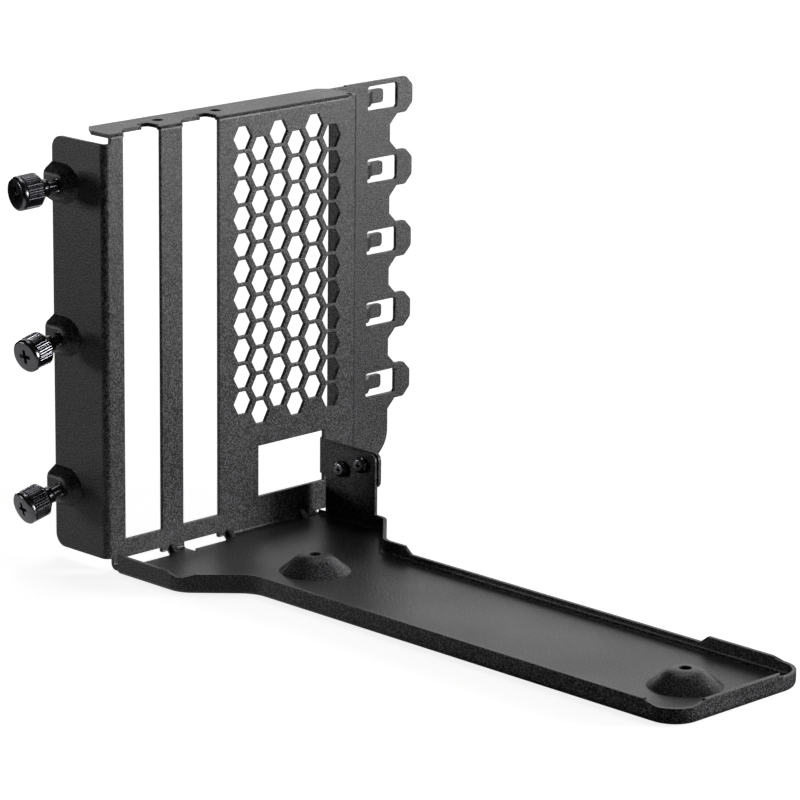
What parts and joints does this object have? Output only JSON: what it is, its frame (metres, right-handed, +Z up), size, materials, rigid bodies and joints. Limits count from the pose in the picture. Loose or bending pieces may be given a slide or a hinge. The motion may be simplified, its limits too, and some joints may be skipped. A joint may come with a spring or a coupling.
{
  "type": "gpu support bracket",
  "caption": "Folded black sheet-metal bracket that holds a graphics card upright: plate with card slots and honeycomb vent, long rimmed tray, hooked comb and captive thumbscrews.",
  "frame": {"origin": "on the tray's underside, midway between the two riser boss holes", "axes": "+X along the tray away from the plate, +Y from the thumbscrews towards the hooked comb, +Z up along the plate"},
  "size_m": [0.2079, 0.1379, 0.1158],
  "materials": {
    "powder_coat": "fine-textured black powder coat on 1 mm steel",
    "thumbscrew_black": "glossy black plating on turned steel",
    "screw_black": "black plating on steel"
  },
  "bodies": {
    "bracket": {"bracket_body": "powder_coat", "tab_screw_1": "screw_black", "tab_screw_2": "screw_black"},
    "thumbscrew_top": {"thumbscrew_top": "thumbscrew_black"},
    "thumbscrew_middle": {"thumbscrew_middle": "thumbscrew_black"},
    "thumbscrew_bottom": {"thumbscrew_bottom": "thumbscrew_black"}
  },
  "joints": [
    {"name": "thumbscrew_top_turn", "type": "hinge", "parent": "bracket", "child": "thumbscrew_top", "pos_m": [-0.11845, -0.0406, 0.10114], "axis": [-0.1764, -0.9806, -0.0854], "continuous": true},
    {"name": "thumbscrew_middle_turn", "type": "hinge", "parent": "bracket", "child": "thumbscrew_middle", "pos_m": [-0.11845, -0.0406, 0.0605], "axis": [0.0442, -0.9726, -0.2284], "continuous": true},
    {"name": "thumbscrew_bottom_turn", "type": "hinge", "parent": "bracket", "child": "thumbscrew_bottom", "pos_m": [-0.11845, -0.0406, 0.01986], "axis": [-0.1232, -0.9488, -0.2907], "continuous": true}
  ]
}
